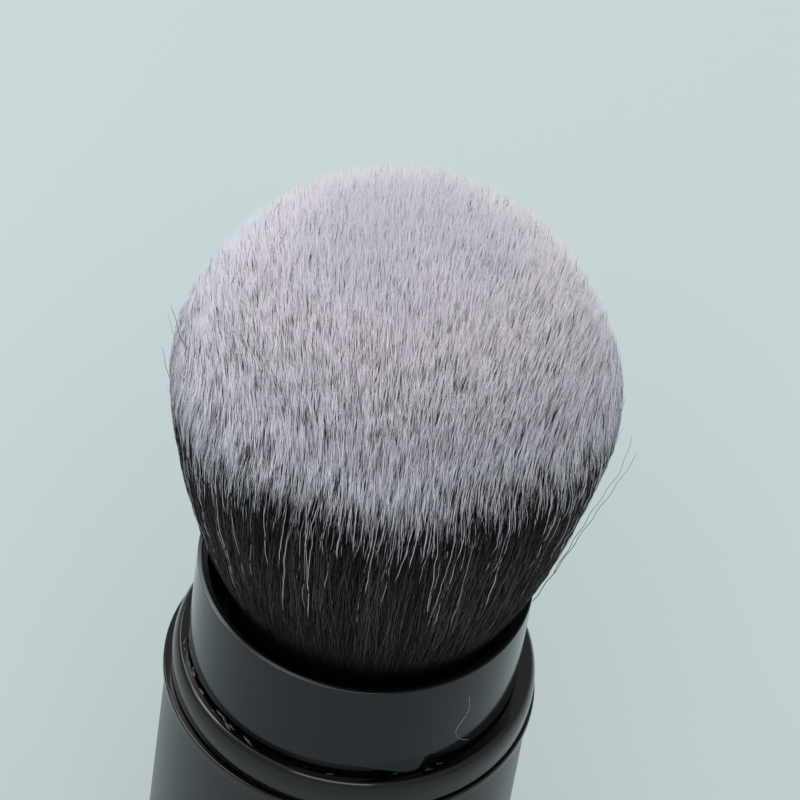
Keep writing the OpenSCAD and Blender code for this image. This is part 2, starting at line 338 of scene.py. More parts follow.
# Azimuths in degrees, then the height at which the surface turns from dark to pale
BORDER = (
    [0, 30, 150, 180, 200, 225, 240, 300, 325, 340, 360],
    [20.5, 20.0, 20.5, 18.8, 18.4, 20.8, 22.8, 24.2, 23.6, 21.8, 20.5],
)

# Size, number round the head and phase of the waves in that height
BORDER_WAVES = ((0.3, 7, 2.2), (0.25, 13, 0))

# The dense core that closes the view between the strands: its share of the flare's radius, its
# crown as heights and then radii, the heights between which its rows change from sparse to dense,
# its colour on the map, and the half width of a sector in steps, which laps over its neighbours
CORE_SHARE = 0.86
CORE_CROWN = ([20, 24, 27, 30, 32, 34, 35.5, 36], [15.0, 14.6, 13.4, 11.3, 9.3, 6.6, 3.4, 0.6])
CORE_CHANGE = (20, 21)
CORE_TURN = 25.0
CORE_TONE, CORE_TONE_WAVE, CORE_WAVES = 0.8, 0.15, 9
CORE_ROWS, CORE_COLUMNS = 24, 9
CORE_HALF_STEP = 0.52

# Below this height the strands are held clear of the neck's bore
NECK_TOP = 0.6
BORE_REACH, WAVY_BORE_REACH = 12.35, 12.3


def ease(value, start, length):
    """0 up to start, then rising to 1 over this length."""
    return np.clip((value - start) / length, 0, 1)


def flare(height):
    """Radius of the bundle before the dome closes it."""
    return np.interp(height, FLARE[:, 0], FLARE[:, 1])


def dome(height):
    """Radius of the dome, which is its widest below WIDE."""
    up = ease(height, WIDE, HEAD_TOP - WIDE)
    return WIDE_R * (1 - up**DOME_POWER) ** (1 / DOME_POWER)


def surface(height):
    """Radius of the head's surface."""
    return np.minimum(flare(height), dome(height))


def tip_height(share):
    """Height at which a strand at this share of the bundle's radius meets the dome."""
    heights = np.linspace(HEAD_TOP, LOWEST_TIP, TIP_STEPS)
    return np.interp(share, dome(heights) / flare(heights), heights)


def lean(height):
    """Where the bundle's axis is at a height."""
    return np.stack([np.interp(height, *LEAN_X), np.interp(height, *LEAN_Y)], -1)


def border(azimuth):
    """Height at which the bundle's surface turns from dark to pale."""
    height = np.interp(np.degrees(azimuth) % 360, *BORDER)
    for size, number, phase in BORDER_WAVES:
        height = height + size * np.sin(number * azimuth + phase)
    return height


# ---------------------------------------------------------------- meshes

# A strand's corners, and how far each is from the middle of the strand's tone on the map
SIDES = 3
CORNER_TONES = [-0.3, 0.0, 0.3]

# A direction that no strand runs in, from which its corners are turned
SIDE_HINT = np.array([0.31, 0.95, 0.02])
TINY = 1e-12


def unit(vectors):
    """The vectors at length 1."""
    return vectors / (np.linalg.norm(vectors, axis=2, keepdims=True) + TINY)


def tube_mesh(name, paths, radii, across, pale_by=0.0):
    """One mesh of three-sided closed strands.

    paths is strands x rings x 3 and radii strands x rings. across is each strand's column of the
    map, and pale_by is added to the height by which the strands are coloured.
    """
    strands, rings, _ = paths.shape
    along = unit(np.gradient(paths, axis=1))
    side = unit(np.cross(along, SIDE_HINT))
    other = np.cross(along, side)
    turn = rng.uniform(0, FULL_TURN, strands)
    corners = []
    for corner in range(SIDES):
        angle = (turn + corner * FULL_TURN / SIDES)[:, None, None]
        corners.append(
            paths[:, :-1]
            + radii[:, :-1, None]
            * (np.cos(angle) * side[:, :-1] + np.sin(angle) * other[:, :-1])
        )
    body = np.stack(corners, 2).reshape(strands, -1, 3)
    points = np.concatenate([body, paths[:, -1:]], 1)
    per = points.shape[1]
    last = SIDES * (rings - 2)
    pairs = [(c, (c + 1) % SIDES) for c in range(SIDES)]
    quads = [
        (ring + a, ring + b, ring + SIDES + b, ring + SIDES + a)
        for ring in range(0, last, SIDES)
        for a, b in pairs
    ]
    triangles = [tuple(reversed(range(SIDES)))]
    triangles += [(last + a, last + b, per - 1) for a, b in pairs]
    base = np.arange(strands)[:, None] * per
    loops = np.concatenate(
        [(base + np.array(faces).ravel()).reshape(strands, -1) for faces in (quads, triangles)], 1
    )
    sizes = np.tile([4] * len(quads) + [3] * len(triangles), strands)
    mesh = bpy.data.meshes.new(name)
    mesh.vertices.add(strands * per)
    mesh.vertices.foreach_set("co", (points * MM).astype(np.float32).ravel())
    mesh.loops.add(loops.size)
    mesh.loops.foreach_set("vertex_index", loops.astype(np.int32).ravel())
    mesh.polygons.add(len(sizes))
    starts = np.concatenate([[0], np.cumsum(sizes)[:-1]])
    mesh.polygons.foreach_set("loop_start", starts.astype(np.int32))
    mesh.polygons.foreach_set("use_smooth", np.ones(len(sizes), bool))
    width = np.append(np.tile(CORNER_TONES, rings - 1), 0.0)
    u = across[:, None] + width[None, :] / (TURN_LEVELS * TONES)
    v = map_row(points[..., 2] + pale_by - RIM_Z)
    uv = np.stack([u, v], -1).reshape(-1, 2)
    layer = mesh.uv_layers.new(name=BAKE_MAP)
    layer.data.foreach_set("uv", uv[loops.ravel()].astype(np.float32).ravel())
    mesh.update()
    mesh.validate()
    return mesh


def smooth_mesh(name, points, faces):
    """A smooth-shaded mesh of these points and faces."""
    mesh = bpy.data.meshes.new(name)
    mesh.from_pydata([Vector(p) * MM for p in points], [], faces)
    for poly in mesh.polygons:
        poly.use_smooth = True
    return mesh


def core_mesh(name, sector):
    """One closed sector of the dense core."""
    heights = np.concatenate([
        np.linspace(GLUE_Z - RIM_Z, CORE_CHANGE[0], CORE_ROWS),
        np.linspace(CORE_CHANGE[1], CORE_CROWN[0][-1], CORE_ROWS),
    ])
    radius = np.minimum(flare(heights) * CORE_SHARE, np.interp(heights, *CORE_CROWN))
    step = FULL_TURN / SECTORS
    angles = sector * step + np.linspace(-CORE_HALF_STEP, CORE_HALF_STEP, CORE_COLUMNS) * step
    rows, columns = len(heights), len(angles)
    centres = lean(heights)

    # The curved outside, row by row, then the axis
    points = [
        (r * math.cos(a) + x, r * math.sin(a) + y, h + RIM_Z)
        for h, r, (x, y) in zip(heights, radius, centres)
        for a in angles
    ]
    axis = rows * columns
    points += [(x, y, h + RIM_Z) for h, (x, y) in zip(heights, centres)]

    # The outside, the two flat sides, the foot and the top
    faces = []
    for row in range(rows - 1):
        for column in range(columns - 1):
            a = row * columns + column
            faces.append((a, a + 1, a + 1 + columns, a + columns))
    for row in range(rows - 1):
        a, b = row * columns, (row + 1) * columns
        faces.append((axis + row, a, b, axis + row + 1))
        faces.append((a + columns - 1, axis + row, axis + row + 1, b + columns - 1))
    last = (rows - 1) * columns
    for c in range(columns - 1):
        faces.append((axis, c + 1, c))
        faces.append((axis + rows - 1, last + c, last + c + 1))

    mesh = smooth_mesh(name, points, faces)
    layer = mesh.uv_layers.new(name=BAKE_MAP)
    for loop in mesh.loops:
        point = mesh.vertices[loop.vertex_index].co / MM
        wave = math.sin(CORE_WAVES * math.atan2(point.y, point.x))
        tone = CORE_TONE + CORE_TONE_WAVE * wave
        layer.data[loop.index].uv = (map_column(CORE_TURN, tone), map_row(point.z - RIM_Z))
    mesh.validate()
    return mesh


def place(name, mesh, body, material):
    """An object of this mesh that rides on a body."""
    obj = bpy.data.objects.new(name, mesh)
    bpy.context.scene.collection.objects.link(obj)
    mesh.materials.append(material)
    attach(obj, body)
    return obj


# ---------------------------------------------------------------- strands

STRANDS = 74000
OUTER_SHARE = 0.86
OUTER_RINGS, OUTER_LENGTH = 13, 60
INNER_RINGS, INNER_LENGTH = 6, 11

# A power below 1 puts a strand's rings closer towards its tip
RING_POWER = 0.9

# Limits of a strand's radius, its taper's length and shape, and the share left at the tip
STRAND_R, STRAND_TAPER = (0.03, 0.047), 3.5
TAPER_POWER, TIP_R_SHARE = 0.6, 0.3

# Tufts: strands in one, fewest in a set, and how far inside the set's ring they may lie
FINE_TUFT = (9, 200, 0.02)
COARSE_TUFT = (70, 60, 0.03)

# Spreads of the tufts' height and of where they turn pale, how far they draw strands in, on the
# crown and how much more at the side, the share of their lift on the crown, and the heights over
# which they draw
FINE_LIFT, FINE_TURN, FINE_PULL = 0.6, 1.0, (0.25, 0.45)
COARSE_LIFT, COARSE_TURN, COARSE_PULL = 0.35, 0.6, (0.05, 0.22)
CROWN_LIFT = 0.35
PULL_FROM, PULL_OVER, PULL_POWER = -4, 30, 1.3

# Share of the bundle's radius at which its side begins, and over how much it takes over
SIDE_FROM, SIDE_OVER = 0.35, 0.6

# Tips: mean and spread of their own height, the most that they stand over the dome, how far the
# highest may be over its top and how fast that falls off, and the sideways spread of the last
# two rings
TIP_UNEVEN = (-0.15, 0.6)
TIP_MOST_OVER = 0.35
TOP_MOST_OVER, TOP_FALL = 0.15, 1.2
TIP_ASIDE, NEXT_ASIDE = 0.13, 0.05

# Slits: strands that are dark almost to the tip, a painted shade for the gaps between tufts, where
# the strands' dark roots show too. Their share on the crown and how much more at the side, how far
# they stand up, their tone, the length of their pale tip, and the share of strands at the side that
# are dark throughout, which are painted shade as well
SHADE_SLIT_SHARE = (0.02, 0.12)
SHADE_SLIT_LIFT = 0.25
SHADE_SLIT_TONE = 0.6
SHADE_SLIT_PALE = (0.2, 1.2)
SHADE_DARK_SHARE = 0.01

# The share of the side's slits that is left at the back, and the sine at which the front begins
BACK_SHARE, FRONT_FROM = 0.25, 0.3

# The outward lean of all but the outermost strands over their last millimetres, and the share of
# the bundle's radius at which it ends
TIP_SLOPE, TIP_SLOPE_LENGTH = 0.22, 9.0
SLOPE_END, SLOPE_FADE = 0.99, 0.08

# Waves of a strand: limits of their length, shape and scale of their size, the spread of its drift
# to one side, and the heights over which both set in
WAVE_LENGTH = (5, 12)
WAVE_SIZE = (2.0, 0.035)
DRIFT = 0.35
WAVE_FROM, WAVE_OVER = -9, 12

# How far strands may stand over the flare and over the dome, and how much lower that dome lies
OVER_FLARE, OVER_DOME, DOME_LOWER = 0.4, 0.25, 0.5

# Where strands turn pale: own spread, least depth of the pale part, more of it on the crown, its
# least length, and the share and limits of the few that are pale far down
TURN_SPREAD = 1.0
PALE_DEPTH, PALE_CROWN_DEPTH = (4.0, 9.0), 9.0
PALE_LEAST = (0.3, 2.0)
LONG_PALE_SHARE, LONG_PALE_TURN = 0.01, (11, 20)

# Wavy strands on the surface: the heights over which they come free, the height at which a
# slanting one is in its place and that over which it swings by its angle, and the waves of its
# distance from the surface
WAVY_RINGS = 34
WAVY_FOOT, WAVY_TIP = (-7, -3), (20.5, 25.0)
WAVY_TAPER = 4.0
WAVY_FROM, WAVY_OVER = -3, 9
SLANT_MIDDLE, SLANT_OVER = 8, 14
WAVY_RISE, WAVY_RISE_LENGTH = 0.08, (3, 8)

# Sets of wavy strands on the surface: their number, then pairs of limits, for the height at which
# they turn pale against the border's, the waves' size, the swing to the side in degrees, the
# distance out from the surface, the radius and the tone
WAVY_SETS = [
    (3200, (-1.8, 1.8), (0.015, 0.06), (0, 4), (-0.25, 0.15), (0.02, 0.032), (0.0, 1.0)),
    (240, (-2.5, 1.5), (0.02, 0.07), (3, 7), (0.05, 0.3), (0.018, 0.026), (0.7, 1.0)),
    (170, (-15, -3), (0.02, 0.06), (0, 4), (0.12, 0.35), (0.016, 0.026), (0.0, 0.6)),
    (1300, (-4.5, 0.5), (0.015, 0.06), (0, 4), (0.0, 0.25), (0.02, 0.032), (0.0, 1.0)),
    (420, (90, 90), (0.015, 0.06), (0, 5), (0.05, 0.3), (0.018, 0.026), (0.85, 1.0)),
]

# Shortest and longest wave of a wavy strand, and its share of the waves' size
WAVES = ((1.6, 3.2, 0.6), (4.0, 9.0, 1.0))


def nearest(points, centres):
    """For each point the index of its nearest centre."""
    tree = kdtree.KDTree(len(centres))
    for index, (x, y) in enumerate(centres):
        tree.insert((x, y, 0), index)
    tree.balance()
    return np.array([tree.find((x, y, 0))[1] for x, y in points])


def spread(count, low, high):
    """Points spread evenly over a ring of the unit disc."""
    share = np.sqrt(rng.uniform(low**2, high**2, count))
    angle = rng.uniform(0, FULL_TURN, count)
    return np.stack([share * np.cos(angle), share * np.sin(angle)], -1)


def lifted(plane, height):
    """Paths from places across the brush and heights above the rim."""
    return np.concatenate([plane, (height + RIM_Z)[..., None]], 2)


def around(reach, angle, height):
    """Paths from distances and azimuths about the bundle's leaning axis."""
    plane = np.stack([reach * np.cos(angle), reach * np.sin(angle)], -1) + lean(height)
    return lifted(plane, height)


def tapered(thick, tip, height, length):
    """Radii of strands that thin towards their tips over this length."""
    taper = np.clip((tip[:, None] - height) / length, 0.0, 1) ** TAPER_POWER
    return thick[:, None] * (TIP_R_SHARE + (1 - TIP_R_SHARE) * taper)


def thinning(paths, radius, end):
    """Radii of hairs that thin steadily from root to tip, where this share is left."""
    return np.full(paths.shape[:2], radius) * np.linspace(1.0, end, paths.shape[1])


def held_in(plane, height):
    """The places moved in where they reach the neck's bore or stand far out over the surface."""
    reach = np.linalg.norm(plane, axis=2)
    free = np.minimum(flare(height) + OVER_FLARE, dome(height - DOME_LOWER) + OVER_DOME)
    limit = np.where(height < NECK_TOP, BORE_REACH, free)
    return plane * np.minimum(1, limit / np.maximum(reach, TINY))[..., None]


def tuft_centres(count, low, high, tuft):
    """Centres of the tufts of a set of strands."""
    strands, fewest, margin = tuft
    return spread(max(fewest, int(count / strands)), max(0, low - margin), high)


def strand_set(count, low, high, rings, shown_length):
    """Paths, radii, map columns and azimuths of the strands in a ring of the bundle."""
    home = spread(count, low, high)
    share = np.linalg.norm(home, axis=1)
    azimuth = np.arctan2(home[:, 1], home[:, 0])

    # Tips, which the tufts lift less on the dome's top than at the side
    fine = tuft_centres(count, low, high, FINE_TUFT)
    coarse = tuft_centres(count, low, high, COARSE_TUFT)
    in_fine, in_coarse = nearest(home, fine), nearest(home, coarse)
    lift = rng.normal(0, FINE_LIFT, len(fine))[in_fine]
    lift = lift + rng.normal(0, COARSE_LIFT, len(coarse))[in_coarse]
    side = ease(share, SIDE_FROM, SIDE_OVER)
    uneven = rng.normal(*TIP_UNEVEN, count) + lift * (CROWN_LIFT + (1 - CROWN_LIFT) * side)
    tip = tip_height(share) + np.minimum(TIP_MOST_OVER, uneven)

    # Slits of painted shade, most of them in front
    front = BACK_SHARE + (1 - BACK_SHARE) * np.clip(FRONT_FROM - np.sin(azimuth), 0, 1)
    shade_slit = rng.random(count) < SHADE_SLIT_SHARE[0] + SHADE_SLIT_SHARE[1] * side * front
    highest = HEAD_TOP + TOP_MOST_OVER - TOP_FALL * share**2
    tip = np.minimum(tip + SHADE_SLIT_LIFT * shade_slit, highest)

    # Heights of the rings, then the place of each ring, drawn towards its tufts
    foot = np.maximum(GLUE_Z - RIM_Z, tip - shown_length)
    step = np.linspace(0, 1, rings) ** RING_POWER
    height = foot[:, None] + (tip - foot)[:, None] * step[None, :]
    grip = ease(height, PULL_FROM, PULL_OVER) ** PULL_POWER
    at = home[:, None, :]
    for centre, (crown_pull, side_pull) in (
        (fine[in_fine], FINE_PULL), (coarse[in_coarse], COARSE_PULL)
    ):
        pull = (crown_pull + side_pull * side)[:, None] * grip
        at = at + (centre - home)[:, None, :] * pull[..., None]
    plane = at * flare(height)[..., None]

    # All but the outermost lean outwards near the tip
    slope = TIP_SLOPE * np.clip((SLOPE_END - share) / SLOPE_FADE, 0, 1)
    inward = slope[:, None] * np.minimum(tip[:, None] - height, TIP_SLOPE_LENGTH)
    plane = plane - home[:, None, :] * inward[..., None]

    # Waves, drift and uneven tips
    phase = rng.uniform(0, FULL_TURN, (count, 2))
    length = rng.uniform(*WAVE_LENGTH, (count, 2))
    size = rng.gamma(*WAVE_SIZE, (count, 2))
    wave = np.sin(height[..., None] * FULL_TURN / length[:, None, :] + phase[:, None, :])
    drift = rng.normal(0, DRIFT, (count, 2))[:, None, :] * grip[..., None] ** 2
    free = ease(height, WAVE_FROM, WAVE_OVER)[..., None]
    plane = plane + (wave * size[:, None, :] + drift) * free
    plane = plane + lean(height)
    plane[:, -1] += rng.normal(0, TIP_ASIDE, (count, 2))
    plane[:, -2] += rng.normal(0, NEXT_ASIDE, (count, 2))
    paths = lifted(held_in(plane, height), height)
    radii = tapered(rng.uniform(*STRAND_R, count), tip, height, STRAND_TAPER)

    # Where each strand turns pale, ragged and tufted, with a few long pale ones
    tuft = rng.normal(0, COARSE_TURN, len(coarse))[in_coarse]
    tuft = tuft + rng.normal(0, FINE_TURN, len(fine))[in_fine]
    turn = border(azimuth) + tuft + rng.normal(0, TURN_SPREAD, count)
    least = tip - rng.uniform(*PALE_DEPTH, count) - PALE_CROWN_DEPTH * (1 - side)
    turn = np.maximum(turn, least)
    long_pale = rng.random(count) < LONG_PALE_SHARE
    turn = np.where(long_pale, rng.uniform(*LONG_PALE_TURN, count), turn)
    turn = np.minimum(turn, tip - rng.uniform(*PALE_LEAST, count))
    # Painted shade: slit strands pale only near the tip, and a few at the side dark throughout
    turn = np.where(shade_slit, tip - rng.uniform(*SHADE_SLIT_PALE, count), turn)
    shade_dark = rng.random(count) < SHADE_DARK_SHARE * side * front
    turn = np.where(shade_dark, ALWAYS_DARK, turn)
    tone = rng.uniform(0, 0.999, count) * np.where(shade_slit, SHADE_SLIT_TONE, 1.0)
    return paths, radii, map_column(turn, tone), azimuth


def surface_set(count, turn, size, swing, out, thick, tone):
    """Wavy strands on the bundle's surface, in the same form as strand_set's."""
    azimuth = rng.uniform(0, FULL_TURN, count)
    foot = rng.uniform(*WAVY_FOOT, count)
    tip = rng.uniform(*WAVY_TIP, count)
    height = foot[:, None] + (tip - foot)[:, None] * np.linspace(0, 1, WAVY_RINGS)[None, :]
    free = ease(height, WAVY_FROM, WAVY_OVER)
    slant = rng.uniform(*swing, count) * rng.choice([-1, 1], count)
    shift = np.radians(slant)[:, None] * (height - SLANT_MIDDLE) / SLANT_OVER
    for low, high, share in WAVES:
        length = rng.uniform(low, high, count)[:, None]
        phase = rng.uniform(0, FULL_TURN, count)[:, None]
        strength = rng.uniform(*size, count)[:, None] * share * free
        shift = shift + strength * np.sin(height * FULL_TURN / length + phase) / flare(height)
    rise = rng.uniform(*out, count)[:, None] * free
    length = rng.uniform(*WAVY_RISE_LENGTH, count)[:, None]
    rise = rise + WAVY_RISE * free * np.sin(height * FULL_TURN / length + phase)
    reach = surface(height) + rise
    reach = np.where(height < NECK_TOP, np.minimum(reach, WAVY_BORE_REACH), reach)
    paths = around(reach, azimuth[:, None] + shift, height)
    radii = tapered(rng.uniform(*thick, count), tip, height, WAVY_TAPER)
    change = border(azimuth) + rng.uniform(*turn, count)
    return paths, radii, map_column(change, rng.uniform(*tone, count)), azimuth


def joined(sets):
    """Several sets of strands with the same number of rings as one."""
    return tuple(np.concatenate(parts) for parts in zip(*sets))


# ---------------------------------------------------------------- the head's pieces


def bristle_piece(name, mesh, material):
    """A piece of the head, riding on the base in place of the hidden bristle nodes."""
    piece = place(name, mesh, "base", material)
    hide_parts("bristle_core", "bristle_skirt")
    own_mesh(piece)


def sector_piece(name, strands, sector, sectors, material):
    """The strands of a set that lie in one sector, as a piece of the head."""
    paths, radii, columns, azimuth = strands
    mine = np.round(azimuth / (FULL_TURN / sectors)).astype(int) % sectors == sector
    mesh = tube_mesh(name, paths[mine], radii[mine], columns[mine])
    bristle_piece(name, mesh, material)


def make_bristles(material):
    """The head, in sectors."""
    outer_count = int(STRANDS * (1 - OUTER_SHARE**2))
    inner_count = int(STRANDS * OUTER_SHARE**2)
    sets = {
        "outer": strand_set(outer_count, OUTER_SHARE, 1.0, OUTER_RINGS, OUTER_LENGTH),
        "inner": strand_set(inner_count, 0.0, OUTER_SHARE, INNER_RINGS, INNER_LENGTH),
        "wavy": joined([surface_set(*row) for row in WAVY_SETS]),
    }
    for sector in range(SECTORS):
        for label, strands in sets.items():
            name = f"bristles_{label}_{sector:02d}"
            sector_piece(name, strands, sector, SECTORS, material)
        name = f"bristle_bundle_{sector:02d}"
        bristle_piece(name, core_mesh(name, sector), material)


# Hairs of the photo that stand out: the side they fold from, then each hair's (x, y, height)
STRAYS = {
    "right": (
        (1, 0, 0),
        [(13.5, -3, 2.1), (15.0, -3, 6.7), (16.6, -3, 12.1), (18.0, -3, 16.5), (19.3, -3, 21.0)],
        [(14.6, -3, 5.6), (16.9, -3, 14.4), (18.3, -3, 18.8), (18.5, -3, 22.8)],
    ),
    "left": (
        (-1, 0, 0),
        [(-16.0, -3, 16.3), (-17.1, -3, 20.6), (-18.1, -3, 24.2)],
        [(-16.1, -3, 24.1), (-17.1, -3, 26.6), (-17.6, -3, 28.7)],
        [(-14.8, -3, 10.9), (-16.1, -3, 15.2), (-16.9, -3, 19.5)],
    ),
    "top": (
        (-1, 0, 0),
        [(-6.2, -1.3, 35.8), (-6.15, -0.6, 36.7), (-6.1, 0.1, 37.5)],
    ),
}
STRAY_R, STRAY_TIP_SHARE, STRAY_RINGS = 0.036, 0.4, 24
STRAY_WAVE, STRAY_WAVE_RATE = 0.07, 1.9
STRAY_TONES = (0.5, 0.9)

# Other single hairs: limits of the height at which they leave the surface and of their free
# length, the length that still lies in the surface, and how deep it lies and rises
FLYAWAY_COUNT, FLYAWAY_GROUPS = 100, 9
FLYAWAY_R, FLYAWAY_TIP_SHARE, FLYAWAY_RINGS = 0.026, 0.35, 16
FLYAWAY_LEAVE, FLYAWAY_FREE, FLYAWAY_LAID = (12, 22), (3, 7), 4
FLYAWAY_DEPTH, FLYAWAY_RISE = 0.3, 0.45

# How far they stand out: shape and scale of the draw, the most of it, the share of it that is left
# in front and behind, and its bend. Then the spread of their turn to the side in degrees
FLYAWAY_OUT, FLYAWAY_MOST_OUT = (1.6, 0.24), 1.1
FLYAWAY_LEAST_SHARE, FLYAWAY_BEND = 0.15, 1.4
FLYAWAY_ASIDE = 5

# The share of those in front that is dark, the sine of the azimuth at which the back begins, and
# limits of the tone
FLYAWAY_DARK_SHARE, FLYAWAY_BEHIND = 0.5, 0.2
FLYAWAY_TONES = (0.4, 1)


def rounded(values):
    """All values but the first and last, each drawn halfway to its neighbours' mean."""
    return (values[:-2] + 2 * values[1:-1] + values[2:]) / 4


def stray_path(points, wave_phase):
    """A hair's path along its points, rounded and slightly waved."""
    points = np.array(points, float)
    along = np.concatenate([[0], np.cumsum(np.linalg.norm(np.diff(points, axis=0), axis=1))])
    at = np.linspace(0, along[-1], STRAY_RINGS)
    knots = np.stack([np.interp(at, along, points[:, k]) for k in range(3)], -1)
    for _ in range(max(1, STRAY_RINGS // len(points) // 2)):
        knots[1:-1] = rounded(knots)
    knots[:, 0] += STRAY_WAVE * np.sin(at * STRAY_WAVE_RATE + wave_phase)
    knots[:, 2] += RIM_Z
    return knots


def make_strays(material):
    """The photo's single hairs that stand out from the head."""
    for label, (direction, *hairs) in STRAYS.items():
        name = f"stray_{label}"
        paths = np.stack([stray_path(points, 2.0 * k) for k, points in enumerate(hairs)])
        turn = np.full(len(hairs), ALWAYS_DARK)
        columns = map_column(turn, np.linspace(*STRAY_TONES, len(hairs)))
        mesh = tube_mesh(name, paths, thinning(paths, STRAY_R, STRAY_TIP_SHARE), columns)
        bristle_piece(name, mesh, material)


def make_flyaways(material):
    """A few more single hairs all round, which stand out most at the sides."""
    count = FLYAWAY_COUNT
    azimuth = rng.uniform(0, FULL_TURN, count)
    leave = rng.uniform(*FLYAWAY_LEAVE, count)[:, None]
    tip = leave + rng.uniform(*FLYAWAY_FREE, count)[:, None]
    step = np.linspace(0, 1, FLYAWAY_RINGS)[None, :]
    height = leave - FLYAWAY_LAID + (tip - leave + FLYAWAY_LAID) * step
    past = ease(height, leave, tip - leave)
    share = FLYAWAY_LEAST_SHARE + (1 - FLYAWAY_LEAST_SHARE) * np.cos(azimuth) ** 4
    out = (rng.gamma(*FLYAWAY_OUT, count) * share)[:, None] * past**FLYAWAY_BEND
    laid = surface(height) - FLYAWAY_DEPTH + FLYAWAY_RISE * past
    reach = laid + np.minimum(out, FLYAWAY_MOST_OUT)
    aside = np.radians(rng.normal(0, FLYAWAY_ASIDE, count))
    angle = azimuth[:, None] + aside[:, None] * past
    paths = around(reach, angle, height)
    radii = thinning(paths, FLYAWAY_R, FLYAWAY_TIP_SHARE)
    dark = (rng.random(count) < FLYAWAY_DARK_SHARE) & (np.sin(azimuth) <= FLYAWAY_BEHIND)
    turn = np.where(dark, ALWAYS_DARK, leave[:, 0])
    columns = map_column(turn, rng.uniform(*FLYAWAY_TONES, count))
    strands = (paths, radii, columns, azimuth)
    for group in range(FLYAWAY_GROUPS):
        name = f"flyaways_{group}"
        sector_piece(name, strands, group, FLYAWAY_GROUPS, material)


# ---------------------------------------------------------------- finds on the neck and collar

# Azimuths in degrees and heights above the floor of a hair that clings to the neck
NECK_HAIR = np.array([
    (315.5, 61.9), (316.9, 60.57), (315.8, 59.5), (313.2, 58.91), (311.9, 58.21), (313.4, 57.24),
    (316.0, 56.51), (319.6, 55.97),
])
NECK_HAIR_R, NECK_HAIR_TIP_SHARE, NECK_HAIR_RINGS = 0.017, 0.6, 40
NECK_HAIR_OUT, NECK_HAIR_TONE, NECK_HAIR_PALE_BY = 0.03, 0.2, 20
NECK_HAIR_ROUNDINGS = 6

# Beads of adhesive: their number, the draw of their azimuth in degrees with its two values, and
# the limits of their scale
BEAD_GROUPS = (
    (16, rng.normal, (212, 15), (0.7, 1.5)),
    (4, rng.normal, (304, 3), (0.5, 0.9)),
    (10, rng.uniform, (0, 360), (0.3, 0.7)),
)

# A bead's rings, as shares of its half sizes across and of its height, and its corners
BEAD_RINGS = ((1.0, 0.0), (0.85, 0.55), (0.45, 0.92))
BEAD_SIDES, BEAD_UNEVEN = 9, 0.12

# A bead's distance out from the neck, how deep it sits in the collar's top, its half sizes along
# and across the groove and its height, the limits of the share of that length that it has, and the
# spread of its turn in radians
BEAD_OUT, BEAD_SINK = (-0.15, 0.45), 0.02
BEAD_SIZE, BEAD_LENGTHS, BEAD_TURN = (0.25, 0.12, 0.07), (0.6, 2.6), 0.25

# The run of lacquer: azimuths in degrees and heights above the floor of its lower edge, then
# azimuths and how full it is there
RUN_EDGE = np.array([
    (276, 56.0), (282, 55.85), (287, 55.65), (291, 55.4), (294, 55.18), (297, 55.12),
    (299.5, 55.3), (301.8, 55.8),
])
RUN_FULL = ([276, 294, 299, 301.8], [0, 1, 0.85, 0])
RUN_COLUMNS, RUN_ROWS = 48, 14

# Its top, how far it bulges out, the thickness of its skin, how deep its rim lies in the neck, and
# how far its lower edge turns up and in
RUN_TOP, RUN_BULGE, RUN_SKIN, RUN_SINK = 56.7, 0.32, 0.022, 0.02
RUN_TURNED_UP, RUN_TURNED_IN = 0.05, 0.05


def on_neck(azimuth, height, radius):
    """The point at an azimuth in degrees, a height above the floor and a radius."""
    a = math.radians(azimuth)
    return (radius * math.cos(a), radius * math.sin(a), height)


def make_neck_hair(material):
    """A short hair that clings to the lacquer."""
    knots = np.arange(len(NECK_HAIR))
    at = np.linspace(0, len(NECK_HAIR) - 1, NECK_HAIR_RINGS)
    path = np.stack([np.interp(at, knots, NECK_HAIR[:, k]) for k in range(2)], -1)
    for _ in range(NECK_HAIR_ROUNDINGS):
        path[1:-1] = rounded(path)
    path = np.array([[on_neck(a, z, NECK_R + NECK_HAIR_OUT) for a, z in path]])
    columns = np.array([map_column(TURN_LOW, NECK_HAIR_TONE)])
    radii = thinning(path, NECK_HAIR_R, NECK_HAIR_TIP_SHARE)
    mesh = tube_mesh("neck_hair", path, radii, columns, pale_by=NECK_HAIR_PALE_BY)
    place("neck_hair", mesh, "sleeve", material)


def add_bead(points, faces, centre, size, turn):
    """Adds one small uneven lens-shaped lump to a mesh under construction."""
    first, sides = len(points), BEAD_SIDES
    c, s = math.cos(turn), math.sin(turn)
    for ring, (r, z) in enumerate(BEAD_RINGS):
        for k in range(sides):
            a = FULL_TURN * (k + 0.5 * ring) / sides
            bulge = 1 + BEAD_UNEVEN * rng.uniform(-1, 1)
            x = r * size[0] * math.cos(a) * bulge
            y = r * size[1] * math.sin(a) * bulge
            across = (centre[0] + c * x - s * y, centre[1] + s * x + c * y)
            points.append((*across, centre[2] + z * size[2]))
    points.append((centre[0], centre[1], centre[2] + size[2]))
    last = first + sides * (len(BEAD_RINGS) - 1)
    for ring in range(first, last, sides):
        for k in range(sides):
            a, b = ring + k, ring + (k + 1) % sides
            faces.append((a, b, b + sides, a + sides))
    for k in range(sides):
        faces.append((last + k, last + (k + 1) % sides, last + sides))
    faces.append(tuple(first + k for k in reversed(range(sides))))


